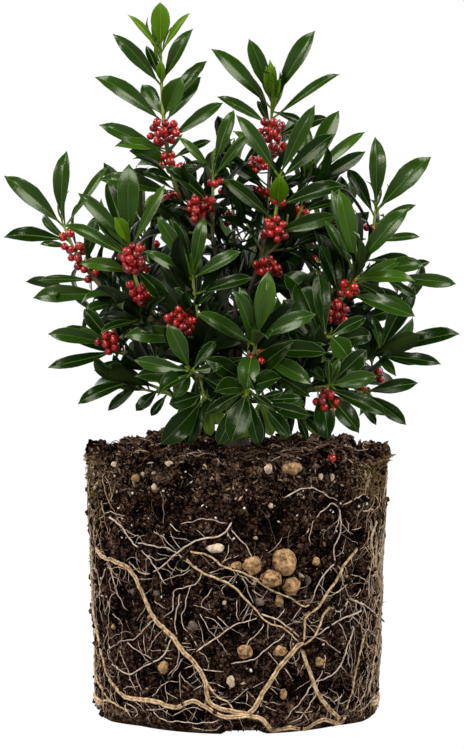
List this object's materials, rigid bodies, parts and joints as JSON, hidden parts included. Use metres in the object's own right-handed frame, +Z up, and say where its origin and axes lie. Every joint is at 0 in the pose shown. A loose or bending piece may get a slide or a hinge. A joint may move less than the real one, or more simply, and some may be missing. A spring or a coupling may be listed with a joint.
{
  "type": "needlepoint holly shrub on its root ball",
  "caption": "Multi-stemmed evergreen shrub with narrow glossy leaves and clusters of red berries, standing on the bare, root-bound ball of soil that its nursery pot shaped.",
  "frame": {"origin": "centre of the root ball's flat underside, on the surface that it stands on", "axes": "+Z up along the plant, -Y towards the side that the picture shows, +X to the right as seen from there"},
  "size_m": [0.4251, 0.393, 0.6629],
  "materials": {
    "soil": "rough, crumbly and dull",
    "bark": "matt, finely furrowed",
    "foliage": "glossy leaf wax"
  },
  "bodies": {
    "root": {"root_ball": "soil", "trunk": "bark", "bough_crown_left": "bark", "bough_crown_right": "bark", "bough_back_top": "bark", "bough_left_side": "bark", "bough_front_low": "bark", "bough_right_side": "bark", "bough_back_right": "bark", "bough_front_left": "bark", "bough_right_low": "bark", "bough_back_left": "bark", "bough_left_low": "bark", "bough_front_right": "bark", "bough_back_low": "bark", "crown_left": "foliage", "crown_right": "foliage", "back_top": "foliage", "left_side": "foliage", "front_low": "foliage", "right_side": "foliage", "back_right": "foliage", "front_left": "foliage", "right_low": "foliage", "back_left": "foliage", "left_low": "foliage", "front_right": "foliage", "back_low": "foliage"}
  },
  "joints": []
}
